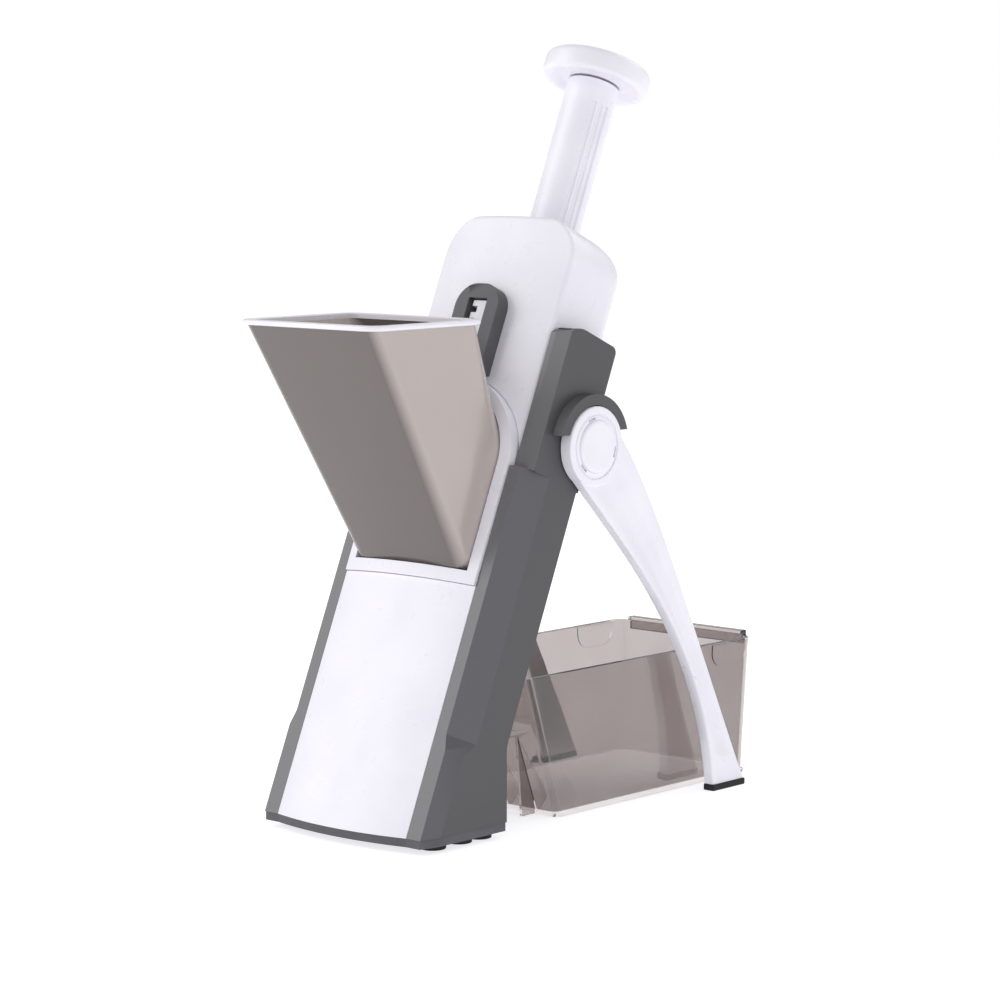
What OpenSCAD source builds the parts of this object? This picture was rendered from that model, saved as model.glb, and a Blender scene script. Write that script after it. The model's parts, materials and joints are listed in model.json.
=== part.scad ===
// Upright push-down mandoline slicer: a leaning column on a base with two folding
// rear legs, a feed hopper, a sprung plunger with the blade carriage and a catch bin.
// Millimetres, +Z up, +X to the right seen from the front, front towards -Y.
// Most pieces are drawn in the column's own leaning frame: X across, Y depth
// behind the front plane, Z along the column from its lower front edge.

/* [Stance] */
// Angle that the column leans back from upright, degrees
lean = 23.3; // [18:0.5:28]
// Height of the rubber pads under the base
pad_h = 4; // [3:0.5:8]
// Thickness of the base plate
base_t = 5; // [4:0.5:8]
// Distance from the front edge to the upright heel at the bottom
heel_y = 69; // [66:1:80]
// Height at which the upright heel meets the leaning back edge
heel_z = 53; // [45:1:60]

/* [Column] */
// Width of the white front panel
panel_w = 100; // [90:1:120]
// How far the middle of the front panel stands forward of its edges
panel_bulge = 6; // [3:0.5:9]
// Length of the front panel along the column
panel_len = 146; // [130:1:176]
// Wall of the front panel
panel_t = 2.5; // [2:0.1:4]
// Width of each dark side rail outside the panel
rail_w = 13.5; // [11:0.1:14]
// Depth of the side rails behind the front plane
rail_d = 46.4; // [46:0.1:56]
// Wall of the side rails
rail_t = 2.5; // [2:0.1:3.5]
// Height of the wide foot of each rail along the column
rail_foot = 52; // [40:1:62]
// Length of the sloping step above the rail's foot
rail_step = 9; // [6:1:14]
// Overall length of each rail, to the top of its hinge housing
rail_len = 306; // [300:1:322]
// Length of the hinge housing at the rail's top
housing_len = 88; // [70:1:96]

/* [Head] */
// Length of the column to the top of the head
head_top = 368.5; // [360:0.5:400]
// Radius of the head's top corners seen from the front
head_corner_r = 25; // [15:1:34]
// Depth of the head's back face behind the front plane
head_d = 57; // [56:0.5:66]
// Setback of the head's front edges behind the front plane
head_setback = 6; // [3:0.5:8]
// Radius of the head's upright back corners
head_back_r = 12; // [6:1:18]
// Radius of the head's top back corner seen from the side
head_crown_r = 20; // [10:1:28]
// Wall of the head shell
head_t = 2.6; // [2:0.1:3.5]

/* [Throat] */
// Inner width of the feed throat
throat_w = 86.6; // [80:0.2:88]
// Width of the frame around the throat
throat_lip = 6.4; // [5:0.1:8]
// How far the frame stands proud of the front panel
throat_rise = 1.5; // [1:0.1:3]
// Depth of the throat behind the front plane
throat_d = 20; // [14:0.5:20.5]

/* [Plunger] */
// Outer radius of the plunger tube
tube_r = 15.5; // [13:0.5:17]
// Wall of the plunger tube
tube_t = 2.4; // [2:0.1:4]
// Depth of the tube's axis behind the front plane
tube_d = 38; // [37:0.5:38.5]
// Travel of the plunger
stroke = 88; // [70:1:90]
// Radius of the push knob
knob_r = 32; // [26:1:36]
// Thickness of the push knob
knob_t = 14; // [10:1:20]
// Room left between the knob and the head at full travel
knob_gap = 10; // [8:1:20]

/* [Carriage] */
// Thickness of the carriage plate
plate_t = 3; // [2.5:0.1:4]
// Thickness of the steel blade
blade_t = 1; // [0.8:0.1:1.4]
// Radius of the guide rods
rod_r = 3; // [2.5:0.1:3.5]
// Distance of each guide rod from the middle plane
rod_x = 38.5; // [37:0.5:39]
// Mean radius of the return springs
spring_r = 4.3; // [4.1:0.1:4.4]
// Wire diameter of the return springs
spring_wire = 1; // [0.8:0.1:1.2]
// Greatest slice thickness
slice_max = 8; // [6:0.5:8]
// Travel of the strip-cutting comb
comb_travel = 6; // [4:0.5:6]

/* [Hopper] */
// Half width of the hopper rim
rim_half = 54; // [50:0.5:60]
// Front edge of the hopper rim, ahead of the front plane
rim_front = 27.5; // [15:0.5:40]
// Back edge of the hopper rim, behind the front plane
rim_back = 66; // [60:0.5:72]
// Height of the hopper rim above the ground
rim_z = 292.3; // [285:0.5:300]
// Thickness of the hopper rim
rim_t = 3; // [2:0.1:5]
// Width of the hopper rim
rim_w = 4; // [3:0.1:6]
// Wall of the hopper
hopper_t = 2; // [1.6:0.1:3]

/* [Legs] */
// Distance of the leg pivot along the column
pivot_v = 245.4; // [236:0.2:250]
// Depth of the leg pivot behind the front plane
pivot_d = 43.8; // [43:0.2:49]
// Radius of the leg's hub
hub_r = 23.1; // [20:0.1:25]
// Thickness of the leg
leg_t = 8; // [6:0.1:10]
// Radius of the hinge pin
pin_r = 6; // [4:0.1:8]
// Reach of the foot's front corner behind the pivot
leg_reach = 111.5; // [100:0.5:120]
// Length of the foot along the ground
foot_len = 30; // [24:0.5:36]

/* [Catch bin] */
// Half width of the bin at its rim
bin_half = 54; // [48:0.5:58]
// Narrowing of each side of the bin down to its base
bin_taper = 4; // [2:0.5:8]
// Height of the bin
bin_h = 86; // [70:1:90]
// Front edge of the bin's rim
bin_front = 97; // [97:0.5:105]
// Back edge of the bin's rim
bin_back = 311; // [300:1:330]
// How far the bin's front wall leans in towards its base
bin_rake = 32; // [20:1:40]
// Wall of the bin
bin_t = 2; // [1.6:0.1:3]

/* [Fits] */
// Radial clearance of turning and sliding fits
run_fit = 0.05; // [0.02:0.01:0.1]
// Gap between neighbouring pieces
gap = 0.3; // [0.2:0.05:0.5]

/* [Hidden] */

big = 400;
eps = 0.01;
base_z = pad_h + base_t;
bin_handle_w = 4;
y_mid = (bin_back + bin_handle_w - rim_front) / 2;

panel_half = panel_w / 2;
column_half = panel_half + rail_w;
panel_r = (panel_half * panel_half + panel_bulge * panel_bulge) / (2 * panel_bulge);
core_half = panel_half - gap - 0.2;
core_t = head_t;
core_in = core_half - core_t;

throat_half = throat_w / 2;
arch_half = throat_half + throat_lip;
throat_v0 = panel_len + gap + throat_lip + 1;
arch_v = 218;
flange_back = head_setback + head_t;

plate_d = throat_d + 2;
carriage_half = core_in - 2.4;
beam_v = 300;
beam_t = 12;
tube_v0 = beam_v + beam_t;
tube_v1 = head_top + knob_gap + stroke;
rod_d = tube_d;
beam_back = rod_d + 6;
back_wall_d = rail_d - rail_t - gap;
back_wall_t = 2.5;
screw_block_t = rail_d - beam_back - gap;
rod_v0 = 96;
rod_v1 = beam_v + 45;
bushing_r = tube_r + 1.8;
seat_h = 8;
frame_floor_v = 30;
cover_v0 = 142;
screw_v = [165, 225, 288];
blade_v = 251;
window_v0 = 158;
window_v1 = 249;
window_half = 35;

rail_in = panel_half + gap;
rail_front = 0.2;
foot_x = column_half - 2.9;
foot_out = 12.6;
mid_x = column_half - 5.3;
mid_out = 21;
housing_in = 4.2;
housing_out = 6.3;
housing_v = rail_len - housing_len;
housing_d = rail_d + 1.6;
collar_r = 30;
collar_out = 7;
leg_gap = 0.4;
leg_x0 = column_half + leg_gap;
leg_x1 = leg_x0 + leg_t;
pivot_y = pivot_v * sin(lean) + pivot_d * cos(lean);
pivot_z = base_z + pivot_v * cos(lean) - pivot_d * sin(lean);
shoe_h = 4;
foot_z = shoe_h - pivot_z;

neck_half = throat_half - 0.5;
neck_v0 = throat_v0 + 0.5;
neck_d0 = -panel_bulge - throat_rise - gap - 0.5;
neck_corner_r = 8;

lock_half = 16.5;
lock_top = 322.5;
lock_bottom = arch_v + arch_half + 1.5;
lock_front = -8.6;
slot_half = 7;
slot_v0 = 276.5;
slot_v1 = 313.5;
tooth_pitch = 7.4;

dial_d = 36;
dial_v = 134;
strip_dial_v = 102;
dial_r = 11;
strip_dial_r = 9.5;
dial_shaft_r = 4;

comb_pitch = 8;
comb_count = 7;
comb_d = plate_d + gap + 2 + comb_travel + 0.7;

// Leaning column frame
module leaning() {
    translate([0, -y_mid, base_z]) rotate([-lean, 0, 0]) children();
}

// Upright frame whose Y starts at the column's lower front edge
module upright() {
    translate([0, -y_mid, 0]) children();
}

// Sweeps an outline of (across, depth) along the column
module along(v0, v1) {
    translate([0, 0, v0]) linear_extrude(v1 - v0) children();
}

// Sweeps an outline of (across, along) through the depth
module through(d0, d1) {
    translate([0, d1, 0]) rotate([90, 0, 0]) linear_extrude(d1 - d0) children();
}

// Sweeps an outline of (depth, along) from side to side
module across(x0, x1) {
    translate([x0, 0, 0]) rotate([90, 0, 90]) linear_extrude(x1 - x0) children();
}

// A shaft or bore lying across the column
module cross_rod(r, x0, x1) {
    translate([x0, 0, 0]) rotate([0, 90, 0]) cylinder(h = x1 - x0, r = r, $fn = 96);
}

// Everything lower than the top of the base plate
module below_base() {
    translate([-big / 2, -big / 2, base_z - big]) cube(big);
}

// Mirrors a right-hand piece to the left when side is -1
module on_side(side) {
    if (side > 0) children();
    else mirror([1, 0, 0]) children();
}

module centred_box(half, y0, y1) {
    translate([-half, y0]) square([2 * half, y1 - y0]);
}

// Rectangle with all four corners rounded
module rounded_box(half, y0, y1, r) {
    centred_box(half, y0 + r, y1 - r);
    centred_box(half - r, y0, y1);
    for (s = [-1, 1], y = [y0 + r, y1 - r]) translate([s * (half - r), y]) circle(r, $fn = 48);
}

// Rectangle with its two upper corners rounded
module round_top(half, y0, y1, r) {
    centred_box(half, y0, y1 - r);
    centred_box(half - r, y0, y1);
    for (s = [-1, 1]) translate([s * (half - r), y1 - r]) circle(r, $fn = 64);
}

// Rectangle with its two upper corners bevelled
module bevel_top(half, y0, y1, bevel) {
    polygon([[half, y0], [half, y1 - bevel], [half - bevel, y1],
        [bevel - half, y1], [-half, y1 - bevel], [-half, y0]]);
}

// Outline with straight sides and a round arch on top
module arch(half, v0, v_centre) {
    centred_box(half, v0, v_centre);
    translate([0, v_centre]) circle(half, $fn = 96);
}

// Solid disc section of the column's convex front, its middle at depth d
module convex_front(d) {
    translate([0, panel_r + d]) circle(panel_r, $fn = 180);
}

// Points of a cubic curve
function curve(p0, p1, p2, p3, t) =
    pow(1 - t, 3) * p0 + 3 * t * pow(1 - t, 2) * p1 + 3 * t * t * (1 - t) * p2 + pow(t, 3) * p3;

// ---- Base and column ----

module base_plate() {
    inset = 0.5;
    half = column_half - inset;
    back = heel_y - inset;
    color("dimgray") upright() difference() {
        translate([0, 0, pad_h]) linear_extrude(base_t) {
            intersection() {
                centred_box(panel_half, -panel_bulge, back);
                translate([0, inset]) convex_front(-panel_bulge);
            }
            polygon([[-half, back], [-half, foot_out], [inset - foot_x, inset], [foot_x - inset, inset],
                [half, foot_out], [half, back]]);
        }
        for (s = [-1, 1], y = pad_places()) translate([s * panel_half, y, pad_h - eps])
            cylinder(h = 2 + eps, r = 4 + run_fit, $fn = 48);
    }
}

function pad_places() = [22, heel_y / 2 + 9, heel_y - 9];

module foot_pads() {
    stem_h = 1.8;
    color("black") upright() for (s = [-1, 1], y = pad_places()) translate([s * panel_half, y, 0]) {
        cylinder(h = pad_h, r = 7.5, $fn = 64);
        translate([0, 0, pad_h - eps]) cylinder(h = stem_h, r = 4, $fn = 48);
    }
}

module front_panel() {
    rib_d = 12;
    color("white") difference() {
        leaning() union() {
            along(-12, panel_len) intersection() {
                difference() {
                    convex_front(-panel_bulge);
                    convex_front(panel_t - panel_bulge);
                }
                centred_box(panel_half, -panel_bulge, rib_d);
            }
            for (s = [-1, 1]) along(frame_floor_v + core_t + 3, panel_len - 1)
                translate([s * (panel_half - 8) - 1, panel_t - panel_bulge + 2])
                square([2, rib_d - panel_t + panel_bulge - 8]);
        }
        below_base();
    }
}

module throat_frame() {
    tube_half = core_in - gap;
    color("white") leaning() difference() {
        intersection() {
            union() {
                through(-big / 20, flange_back) arch(arch_half, panel_len + gap, arch_v);
                through(0, throat_d) arch(tube_half, panel_len + 2, arch_v);
            }
            along(panel_len, panel_len + 140) convex_front(-panel_bulge - throat_rise);
        }
        through(-big / 10, big / 10) arch(throat_half, throat_v0, arch_v);
    }
}

// Outer form of the head, or its hollow with flat bevels at the top when inset is above 0
module head_form(inset, v0) {
    half = core_half - inset;
    top = head_top - inset;
    intersection() {
        through(-big / 10, big / 2) {
            if (inset == 0) round_top(half, v0, top, head_corner_r);
            else bevel_top(half, v0, top, 0.65 * head_corner_r);
        }
        along(v0, top) intersection() {
            convex_front(inset);
            union() {
                centred_box(half, -10, head_d - head_back_r);
                centred_box(half - head_back_r + inset, -10, head_d - inset);
                for (s = [-1, 1]) translate([s * (half - head_back_r + inset), head_d - head_back_r])
                    circle(head_back_r - inset, $fn = 64);
            }
        }
        across(-column_half, column_half) union() {
            translate([-10, v0]) square([10 + head_d - inset, head_top - head_crown_r - v0]);
            translate([-10, v0]) square([10 + head_d - head_crown_r, top - v0]);
            translate([head_d - head_crown_r, head_top - head_crown_r])
                circle(head_crown_r - inset, $fn = 64);
        }
    }
}

module head_shell() {
    v0 = panel_len + gap + 1.7;
    color("white") leaning() difference() {
        union() {
            difference() {
                head_form(0, v0);
                head_form(head_t, v0 - 1);
                through(-20, flange_back + gap) arch(arch_half + gap, v0 - 1, arch_v);
                translate([-big / 2, rail_d, v0 - 1]) cube([big, big, rail_len - gap - v0 + 1]);
            }
            for (p = screw_places())
                translate([p[0] > 0 ? p[0] - 3 : -core_in - eps, rail_d - screw_block_t, p[1] - 4])
                cube([core_in - abs(p[0]) + 3 + eps, screw_block_t, 8]);
        }
        for (p = screw_places()) translate([p[0], rail_d - 5, p[1]]) rotate([-90, 0, 0])
            cylinder(h = 8, r = 1.65, $fn = 48);
        translate([0, tube_d, head_top - 17]) cylinder(h = 40, r = tube_r + gap, $fn = 96);
    }
}

module rear_cover() {
    color("white") leaning() difference() {
        intersection() {
            head_form(0, cover_v0);
            translate([-big / 2, rail_d, cover_v0]) cube([big, big, rail_len - 2 * gap - cover_v0]);
        }
        head_form(head_t, cover_v0 - 1);
        for (p = screw_places()) translate([p[0], head_d - 10, p[1]]) rotate([-90, 0, 0])
            cylinder(h = 20, r = 1.7, $fn = 48);
    }
}

function screw_places() = [for (s = [-1, 1], v = screw_v) [s * (core_half - 8.5), v]];

module cover_screws() {
    head_h = 2;
    color("silver") leaning() for (p = screw_places())
        translate([p[0], head_d + eps, p[1]]) rotate([-90, 0, 0]) {
        difference() {
            cylinder(h = head_h, r = 3, $fn = 48);
            translate([-0.5, -2, head_h - 0.8]) cube([1, 4, 1]);
            translate([-2, -0.5, head_h - 0.8]) cube([4, 1, 1]);
        }
        translate([0, 0, -12]) cylinder(h = 12 + eps, r = 1.6, $fn = 48);
    }
}

// White inner channel that guides the carriage and carries the dials and spring seats
module inner_frame() {
    v1 = panel_len - gap;
    frame_depth = back_wall_d - back_wall_t - gap - panel_t - 1;
    color("gainsboro") difference() {
        leaning() difference() {
            union() {
                for (s = [-1, 1]) {
                    x0 = s > 0 ? core_half - core_t : -core_half;
                    translate([x0, panel_t + 1, -30]) cube([core_t, frame_depth, v1 + 30]);
                    seat_x = s > 0 ? rod_x - 5 : -core_half + eps;
                    translate([seat_x, rod_d - 5, rod_v0]) cube([core_half - rod_x + 5 - eps, 10, seat_h]);
                }
                translate([-core_half + 1, panel_t + 1, frame_floor_v])
                    cube([2 * core_half - 2, frame_depth, core_t]);
            }
            for (s = [-1, 1]) translate([s * rod_x, rod_d, rod_v0 - 1])
                cylinder(h = seat_h + 2, r = rod_r + run_fit, $fn = 64);
            for (v = [dial_v, strip_dial_v]) translate([0, dial_d, v])
                cross_rod(dial_shaft_r + run_fit, -column_half, 0);
        }
        below_base();
    }
}

// Dark wall that closes the column's lower back, with a heel panel behind it
module lower_back() {
    half = column_half - rail_t - gap;
    heel_half = panel_half + 1 - gap;
    heel_back = heel_y - rail_t - gap;
    shelf_z = heel_z - rail_t - gap - back_wall_t;
    wall_v0 = 20;
    color("dimgray") difference() {
        union() {
            leaning() translate([-half, back_wall_d - back_wall_t, wall_v0])
                cube([2 * half, back_wall_t, rod_v0 - gap - wall_v0]);
            upright() translate([-heel_half, heel_back - back_wall_t, base_z])
                cube([2 * heel_half, back_wall_t, shelf_z + back_wall_t - base_z]);
            upright() translate([-heel_half, heel_y - 30, shelf_z])
                cube([2 * heel_half, heel_back - heel_y + 30, back_wall_t]);
        }
        leaning() translate([-big / 2, back_wall_d - back_wall_t - big, -big / 2]) cube(big);
    }
}

// One rail section: an outer outline with a wall, open towards the middle
module rail_section(edge_x, edge_d, out_d, back_d) {
    polygon([[rail_in, edge_d], [edge_x, edge_d], [column_half, out_d], [column_half, back_d],
        [panel_half + 1, back_d], [panel_half + 1, back_d - rail_t], [column_half - rail_t, back_d - rail_t],
        [column_half - rail_t, out_d + 1], [edge_x - rail_t, edge_d + rail_t], [rail_in, edge_d + rail_t]]);
}

module rail(side) {
    color("dimgray") on_side(side) difference() {
        union() {
            leaning() rail_stack();
            upright() rail_heel();
        }
        below_base();
        leaning() translate([0, pivot_d, pivot_v]) {
            cross_rod(pin_r + run_fit, 0, big);
            cross_rod(pin_r + 3.6, 0, column_half - 6);
        }
        if (side < 0) leaning() for (v = [dial_v, strip_dial_v]) translate([0, dial_d, v])
            cross_rod(dial_shaft_r + 0.3, 0, big);
    }
}

module rail_stack() {
    step_v = rail_foot + rail_step;
    along(-40, rail_foot) rail_section(foot_x, rail_front, foot_out, rail_d);
    for (pair = [[0, 1], [1, 2], [2, 3]]) hull() {
        along(rail_foot - eps, rail_foot) rail_strip(pair, foot_x, foot_out);
        along(step_v, step_v + eps) rail_strip(pair, mid_x, mid_out);
    }
    along(step_v, housing_v) rail_section(mid_x, rail_front, mid_out, rail_d);
    hinge_housing();
}

// One flat facet of the rail's wall, for the sloping step
module rail_strip(pair, edge_x, out_d) {
    outer = [[rail_in, rail_front], [edge_x, rail_front], [column_half, out_d], [column_half, rail_d]];
    inner = [[rail_in, rail_front + rail_t], [edge_x - rail_t, rail_front + rail_t],
        [column_half - rail_t, out_d + 1], [column_half - rail_t, rail_d]];
    polygon([outer[pair[0]], outer[pair[1]], inner[pair[1]], inner[pair[0]]]);
}

module hinge_housing() {
    boss_r = 19;
    intersection() {
        along(housing_v, rail_len) rail_section(panel_half + 4, housing_in, housing_out, housing_d);
        across(0, column_half) housing_side();
    }
    difference() {
        across(panel_half, column_half) intersection() {
            housing_side();
            translate([0, rail_len - rail_t]) square([housing_d, rail_t]);
        }
        along(0, big) polygon([[0, housing_in], [panel_half + 4, housing_in], [column_half, housing_out],
            [big, -big], [0, -big]]);
    }
    translate([0, pivot_d, pivot_v]) {
        cross_rod(boss_r, column_half - 6, column_half);
        difference() {
            cross_rod(collar_r, column_half - rail_t, column_half + collar_out);
            cross_rod(hub_r + 0.5, column_half, big);
            collar_opening();
        }
    }
}

// Cuts the collar away below the upper part of the hub
module collar_opening() {
    rotate([lean, 0, 0]) translate([0, -big / 2, 8 - big]) cube(big);
}

// Side outline of the hinge housing, its two upper corners rounded
module housing_side() {
    v0 = housing_v - 10;
    front_r = 18;
    back_r = 4;
    translate([0, v0]) square([housing_d, rail_len - front_r - v0]);
    translate([front_r, v0]) square([housing_d - front_r - back_r, rail_len - v0]);
    translate([front_r, rail_len - front_r]) circle(front_r, $fn = 64);
    translate([housing_d - back_r, rail_len - back_r]) circle(back_r, $fn = 48);
    translate([housing_d - 2 * back_r, rail_len - front_r - 1]) square([2 * back_r, front_r + 1 - back_r]);
}

// Upright heel that fills the wedge behind the leaning back edge
module rail_heel() {
    top_d = rail_d - rail_t;
    difference() {
        translate([panel_half + 1, 20, base_z]) cube([rail_w - 1, heel_y - 20, heel_z - base_z]);
        translate([0, 0, base_z - 1])
            cube([column_half - rail_t, heel_y - rail_t, heel_z - base_z - rail_t + 1]);
        translate([0, 0, base_z]) rotate([-lean, 0, 0]) translate([0, top_d - big, -big / 2]) cube(big);
    }
}

// Sloping tray that throws the slices out of the back into the bin
module outlet_chute() {
    half = 32;
    wall = 2;
    top_d = 36.5;
    top_v = 134;
    low_d = rail_d + 4.6;
    low_v = 117.7;
    foot_v = 95;
    tip_d = head_d + 9;
    ramp = [[top_d, top_v], [low_d, low_v], [tip_d, low_v - 0.7], [tip_d, low_v - 0.7 - wall],
        [low_d, low_v - wall], [top_d, top_v - wall]];
    side = [[top_d, top_v - wall], [top_d, top_v + 12], [low_d - 8, top_v + 2], [low_d - 8, top_v - 12]];
    color("dimgray") leaning() {
        across(-half, half) polygon(ramp);
        across(-half, half) polygon([[back_wall_d, foot_v], [back_wall_d + wall, foot_v],
            [back_wall_d + wall, low_v + 4], [back_wall_d, low_v + 5.5]]);
        for (s = [-1, 1]) across(s > 0 ? half - wall : -half, s > 0 ? half : wall - half) polygon(side);
    }
}

// Bar in the head that guides the tube and holds the rods' upper ends
module guide_bracket() {
    v0 = rod_v1 - seat_h;
    color("gainsboro") leaning() difference() {
        along(v0, rod_v1) centred_box(core_in - gap, tube_d - bushing_r - 3, rod_d + 7);
        translate([0, tube_d, v0 - 1]) cylinder(h = seat_h + 2, r = bushing_r + run_fit, $fn = 96);
        for (s = [-1, 1]) translate([s * rod_x, rod_d, v0 - 1])
            cylinder(h = seat_h + 2, r = rod_r + run_fit, $fn = 64);
    }
}

// Plain bearing that the plunger tube slides in, open at the back
module shaft_bushing() {
    flange_h = 1.4;
    flange_w = 1.6;
    v0 = rod_v1 - seat_h;
    color("whitesmoke") leaning() intersection() {
        translate([0, tube_d, v0]) rotate_extrude($fn = 128) polygon([[tube_r + run_fit, 0], [bushing_r, 0],
            [bushing_r, seat_h], [bushing_r + flange_w, seat_h], [bushing_r + flange_w, seat_h + flange_h],
            [tube_r + run_fit, seat_h + flange_h]]);
        translate([-big / 2, -big / 2, v0 - 1]) cube([big, big / 2 + rod_d + 7, seat_h + flange_h + 2]);
    }
}

module guide_rods() {
    color("silver") leaning() for (s = [-1, 1]) translate([s * rod_x, rod_d, rod_v0])
        cylinder(h = rod_v1 - rod_v0, r = rod_r, $fn = 64);
}

// Helical wire swept along its own path, as a closed skin of triangles
module coil(r, wire, v0, v1, turns) {
    steps = 10;
    sides = 5;
    count = turns * steps;
    points = [for (i = [0:count], j = [0:sides - 1])
        let (a = 360 * i / steps, b = 360 * j / sides, q = r + wire / 2 * cos(b))
        [q * cos(a), q * sin(a), v0 + (v1 - v0) * i / count + wire / 2 * sin(b)]];
    skin = [for (i = [0:count - 1], j = [0:sides - 1], half = [0, 1])
        let (k = (j + 1) % sides, a = i * sides, b = (i + 1) * sides)
        half == 0 ? [a + j, b + j, b + k] : [a + j, b + k, a + k]];
    ends = [for (j = [1:sides - 2], e = [0, 1])
        e == 0 ? [0, j, j + 1] : [count * sides, count * sides + j + 1, count * sides + j]];
    polyhedron(points, concat(skin, ends));
}

module return_springs() {
    color("silver") leaning() for (s = [-1, 1]) translate([s * rod_x, rod_d, 0])
        coil(spring_r, spring_wire, rod_v0 + seat_h + 0.6, beam_v - 0.6, 14);
}

// ---- Lock strip on the front of the head ----

module lock_housing() {
    color("dimgray") leaning() difference() {
        through(lock_front, 4) round_top(lock_half, lock_bottom, lock_top, 14);
        along(lock_bottom - 1, lock_top + 1) convex_front(0);
        through(lock_front - 1, 5) centred_box(slot_half, slot_v0, slot_v1);
    }
}

module lock_slider() {
    teeth = 3;
    front = lock_front + 2.4;
    top = slot_v1 - 0.6;
    foot = top - 3.5 * tooth_pitch;
    color("white") leaning() through(front, -0.4) union() {
        translate([-1, foot]) square([slot_half - 0.4 + 1, top - foot]);
        for (i = [0:teeth]) translate([-5, top - (i + 0.5) * tooth_pitch]) square([4 + eps, tooth_pitch / 2]);
    }
}

// ---- Hinge pins ----

module hinge_pin(side) {
    color("silver") on_side(side) leaning() translate([0, pivot_d, pivot_v]) {
        cross_rod(pin_r, panel_half + 1.2, leg_x1 - 3);
    }
}

module pin_clip(side) {
    color("silver") on_side(side) leaning() translate([0, pivot_d, pivot_v]) difference() {
        cross_rod(pin_r + 3, column_half - 7.2, column_half - 6.2);
        cross_rod(pin_r + 0.02, 0, big);
        translate([0, -pin_r * 0.7, -big]) cube([big, pin_r * 1.4, big]);
    }
}

// ---- Plunger and carriage ----

module push_knob() {
    rim = 4;
    dish = 2.5;
    color("white") leaning() translate([0, tube_d, tube_v1]) rotate_extrude($fn = 160) union() {
        translate([0, dish]) square([knob_r - rim, knob_t - dish]);
        translate([0, rim]) square([knob_r, knob_t - 2 * rim]);
        translate([knob_r - rim - 4, rim]) square([4 + eps, knob_t - rim]);
        for (z = [rim, knob_t - rim]) translate([knob_r - rim, z]) circle(rim, $fn = 48);
        square([tube_r + 3, dish + 1]);
    }
}

module plunger_tube() {
    groove_w = 9;
    groove_d = 1;
    groove_v0 = tube_v0 - 1;
    groove_v1 = tube_v1 - 14;
    color("white") leaning() translate([0, tube_d, 0]) difference() {
        translate([0, 0, tube_v0]) cylinder(h = tube_v1 - tube_v0, r = tube_r, $fn = 128);
        translate([0, 0, tube_v0 - 1]) cylinder(h = tube_v1 - tube_v0 - 4, r = tube_r - tube_t, $fn = 96);
        rotate(-20) translate([tube_r - groove_d, -groove_w / 2, groove_v0])
            cube([5, groove_w, groove_v1 - groove_v0]);
    }
}

module blade_carriage() {
    side_w = carriage_half - 40;
    v0 = window_v0 - 6;
    v1 = beam_v + beam_t + 16;
    color("gainsboro") leaning() difference() {
        union() {
            through(plate_d, plate_d + plate_t) centred_box(carriage_half, v0, v1);
            for (s = [-1, 1]) translate([s > 0 ? carriage_half - side_w : -carriage_half, plate_d, v0])
                cube([side_w, 8, v1 - v0]);
            translate([-carriage_half, plate_d, beam_v])
                cube([2 * carriage_half, beam_back - plate_d, beam_t]);
            translate([0, tube_d, beam_v]) cylinder(h = beam_t, r = tube_r, $fn = 96);
        }
        through(plate_d - 1, plate_d + plate_t + 1) centred_box(window_half, window_v0, window_v1);
        for (s = [-1, 1]) translate([s * rod_x, rod_d, beam_v - 1])
            cylinder(h = beam_t + 2, r = rod_r + run_fit, $fn = 64);
        for (x = blade_screw_x()) translate([x, plate_d - 1, blade_v + 8]) rotate([-90, 0, 0])
            cylinder(h = 12, r = 1.3, $fn = 32);
        translate([-tube_r - 1, tube_d - tube_r - 1, tube_v0]) cube([2 * tube_r + 2, 3 * tube_r, 30]);
    }
}

function blade_screw_x() = [-30, 0, 30];

// V-shaped blade, its two lower edges ground to a bevel
module slicing_blade() {
    half = 38;
    edge = 1.2;
    slope = 17.5;
    tip_v = blade_v - 10;
    color("silver") leaning() difference() {
        through(plate_d - blade_t - eps, plate_d - eps) polygon([[-half, blade_v + 14], [half, blade_v + 14],
            [half, blade_v + 2], [0, tip_v], [-half, blade_v + 2]]);
        for (x = blade_screw_x()) translate([x, plate_d - 5, blade_v + 8]) rotate([-90, 0, 0])
            cylinder(h = 12, r = 1.5, $fn = 32);
        for (side = [-1, 1]) translate([0, plate_d - blade_t - edge, tip_v]) on_side(side)
            rotate([0, -slope, 0]) rotate([45, 0, 0]) cube([half + 4, edge, edge]);
    }
}

module blade_screws() {
    head_h = 0.7;
    color("silver") leaning() for (x = blade_screw_x())
        translate([x, plate_d - blade_t - 2 * eps, blade_v + 8]) rotate([-90, 0, 0]) {
            translate([0, 0, -head_h]) cylinder(h = head_h, r = 2.4, $fn = 48);
            cylinder(h = plate_t + blade_t, r = 1.2, $fn = 32);
        }
}

module thickness_plate() {
    t = 2;
    half = window_half - 0.6;
    color("whitesmoke") leaning() difference() {
        through(plate_d + gap, plate_d + gap + t) centred_box(half, window_v0 + 1, window_v1 - 12);
        for (x = comb_places()) translate([x - 0.9, plate_d - 1, window_v1 - 24]) cube([1.8, 6, 14]);
    }
}

function comb_places() = [for (i = [0:comb_count - 1]) (i - (comb_count - 1) / 2) * comb_pitch];

module comb_bar() {
    half = (comb_count - 1) / 2 * comb_pitch + 3;
    d0 = comb_d;
    color("gainsboro") leaning() difference() {
        through(d0, d0 + 3) centred_box(half, window_v1 - 22, window_v1 - 14);
        for (x = comb_places()) translate([x - 0.4 - 0.02, d0 - 1, window_v1 - 21]) cube([0.84, 2.5, 6]);
    }
}

module comb_blades() {
    d0 = comb_d;
    color("silver") leaning() for (x = comb_places())
        translate([x - 0.4, plate_d + 1.5, window_v1 - 21 + 0.02]) cube([0.8, d0 - plate_d - 0.05, 5.9]);
}

// ---- Dials on the left side ----

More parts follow.
